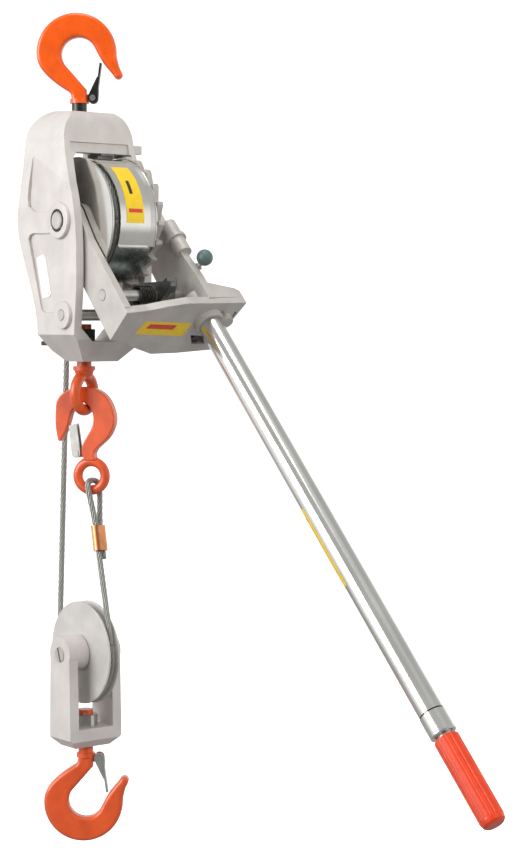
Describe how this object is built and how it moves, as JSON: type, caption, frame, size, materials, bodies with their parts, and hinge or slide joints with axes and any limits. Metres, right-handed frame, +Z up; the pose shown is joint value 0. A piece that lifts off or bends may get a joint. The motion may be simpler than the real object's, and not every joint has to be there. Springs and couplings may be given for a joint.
{
  "type": "come along winch",
  "caption": "Hand lever cable hoist: open-sided cast frame with ratchet drum, swivel hooks, sheave block on a doubled wire rope and a long side-mounted handle.",
  "frame": {"origin": "centre of the top hook's bowl, on the load line", "axes": "+Z up along the load line, +X forward to the side the handle leans out to, +Y along the drum shaft towards the ratchet and the long yoke arm"},
  "size_m": [0.6085, 0.161, 0.8885],
  "materials": {
    "cast_aluminium": "bead blasted",
    "orange_paint": "glossy enamel",
    "red_orange_paint": "glossy enamel",
    "dark_steel": "black oxide",
    "bright_steel": "ground",
    "polished_steel": "polished",
    "zinc": "zinc plated",
    "copper": "pressed copper",
    "bronze": "oil bronze",
    "wire_rope": "galvanised strand",
    "plate_white": "printed plate, blank",
    "grip_plastic": "moulded",
    "knob_plastic": "moulded"
  },
  "bodies": {
    "frame": {"frame_casting": "cast_aluminium", "name_plate": "plate_white", "cable_guide": "dark_steel", "drum_shaft": "bright_steel", "shaft_rings": "dark_steel", "hold_pawl_shaft": "bright_steel", "hold_pawl_spring": "dark_steel", "guard_band": "polished_steel", "guard_liner": "dark_steel", "guard_pin": "dark_steel", "guard_strap": "dark_steel", "eye_bolt": "red_orange_paint", "eye_nut": "dark_steel", "becket_hook": "red_orange_paint", "becket_latch_pin": "zinc", "rope_loop": "wire_rope", "ferrule": "copper", "rope_left_leg": "wire_rope", "rope_right_leg": "wire_rope"},
    "becket_latch": {"becket_latch": "zinc"},
    "top_hook": {"top_hook": "orange_paint", "top_hook_shank": "dark_steel", "top_hook_washer": "dark_steel", "top_hook_nut": "dark_steel", "top_hook_cotter": "bright_steel", "top_latch_pin": "bright_steel"},
    "top_latch": {"top_latch": "dark_steel"},
    "drum": {"drum_barrel": "cast_aluminium", "drum_disc": "polished_steel", "drum_bush": "bronze", "ratchet_wheel": "cast_aluminium", "rope_coil": "wire_rope"},
    "block": {"block_casting": "cast_aluminium", "sheave_axle": "bright_steel", "axle_keys": "bright_steel", "rope_wrap": "wire_rope"},
    "sheave": {"sheave": "cast_aluminium", "sheave_bush": "bronze"},
    "load_hook": {"load_hook": "red_orange_paint", "load_hook_nut": "zinc", "load_hook_cotter": "bright_steel", "load_latch_pin": "zinc"},
    "load_latch": {"load_latch": "zinc"},
    "yoke": {"yoke_casting": "cast_aluminium", "socket_bolt": "dark_steel", "handle_pin": "bright_steel", "yoke_pawl_shaft": "bright_steel", "drive_pawl_spring": "dark_steel", "handle_tube": "polished_steel", "tube_plug": "dark_steel", "control_screw": "dark_steel"},
    "drive_pawl": {"drive_pawl": "dark_steel"},
    "hold_pawl": {"hold_pawl": "dark_steel"},
    "control": {"control_lever": "bright_steel", "control_knob": "knob_plastic"},
    "collar": {"lock_collar": "polished_steel"},
    "grip": {"grip_rod": "bright_steel", "grip": "grip_plastic"}
  },
  "joints": [
    {"name": "top_swivel", "type": "hinge", "parent": "frame", "child": "top_hook", "pos_m": [0, 0, -0.065], "axis": [0, 0, 1], "continuous": true},
    {"name": "top_latch_pivot", "type": "hinge", "parent": "top_hook", "child": "top_latch", "pos_m": [0.00919, 0.01135, -0.046], "axis": [0.7771, -0.6293, 0], "range_deg": [0, 30], "stiffness_Nm_per_rad": 0.03, "springref_deg": -17.19},
    {"name": "drum_spin", "type": "hinge", "parent": "frame", "child": "drum", "pos_m": [0.034, 0, -0.1785], "axis": [0, 1, 0], "range_deg": [-343, 66]},
    {"name": "block_travel", "type": "slide", "parent": "frame", "child": "block", "axis": [0, 0, 1], "range_m": [-0.175, 0.034], "deforming": ["rope_left_leg", "rope_right_leg"]},
    {"name": "sheave_spin", "type": "hinge", "parent": "block", "child": "sheave", "pos_m": [0.007, 0, -0.6395], "axis": [0, 1, 0], "range_deg": [-205, 45]},
    {"name": "load_swivel", "type": "hinge", "parent": "block", "child": "load_hook", "pos_m": [0.007, 0, -0.72], "axis": [0, 0, 1], "continuous": true},
    {"name": "load_latch_pivot", "type": "hinge", "parent": "load_hook", "child": "load_latch", "pos_m": [0.01619, 0.01135, -0.7545], "axis": [-0.7771, 0.6293, 0], "range_deg": [0, 30], "stiffness_Nm_per_rad": 0.03, "springref_deg": -17.19},
    {"name": "becket_latch_pivot", "type": "hinge", "parent": "frame", "child": "becket_latch", "pos_m": [0.00053, -0.0047, -0.425], "axis": [-0.5878, 0.809, 0], "range_deg": [0, 15], "stiffness_Nm_per_rad": 0.03, "springref_deg": -17.19},
    {"name": "yoke_swing", "type": "hinge", "parent": "frame", "child": "yoke", "pos_m": [0.034, 0, -0.1785], "axis": [0, 1, 0], "range_deg": [-105, 8]},
    {"name": "drive_pawl_pivot", "type": "hinge", "parent": "yoke", "child": "drive_pawl", "pos_m": [0.0951, 0.031, -0.25648], "axis": [0, 1, 0], "range_deg": [-20, 0], "stiffness_Nm_per_rad": 0.02, "springref_deg": 28.65},
    {"name": "hold_pawl_pivot", "type": "hinge", "parent": "frame", "child": "hold_pawl", "pos_m": [0.0407, 0.031, -0.2768], "axis": [0, 1, 0], "range_deg": [-11, 0], "stiffness_Nm_per_rad": 0.05, "springref_deg": 45.84},
    {"name": "control_pivot", "type": "hinge", "parent": "yoke", "child": "control", "pos_m": [0.09587, 0.0733, -0.23019], "axis": [0, 1, 0], "range_deg": [-20, 12]},
    {"name": "collar_turn", "type": "hinge", "parent": "yoke", "child": "collar", "pos_m": [0.47866, 0.072, -0.65534], "axis": [0.682, 0, -0.7314], "range_deg": [0, 90]},
    {"name": "grip_extend", "type": "slide", "parent": "yoke", "child": "grip", "axis": [0.682, 0, -0.7314], "range_m": [0, 0.1]}
  ],
  "couplings": [
    {"joint": "block_travel", "follows": "drum_spin", "m_per_rad": 0.029},
    {"joint": "sheave_spin", "follows": "drum_spin", "ratio": 0.58}
  ]
}
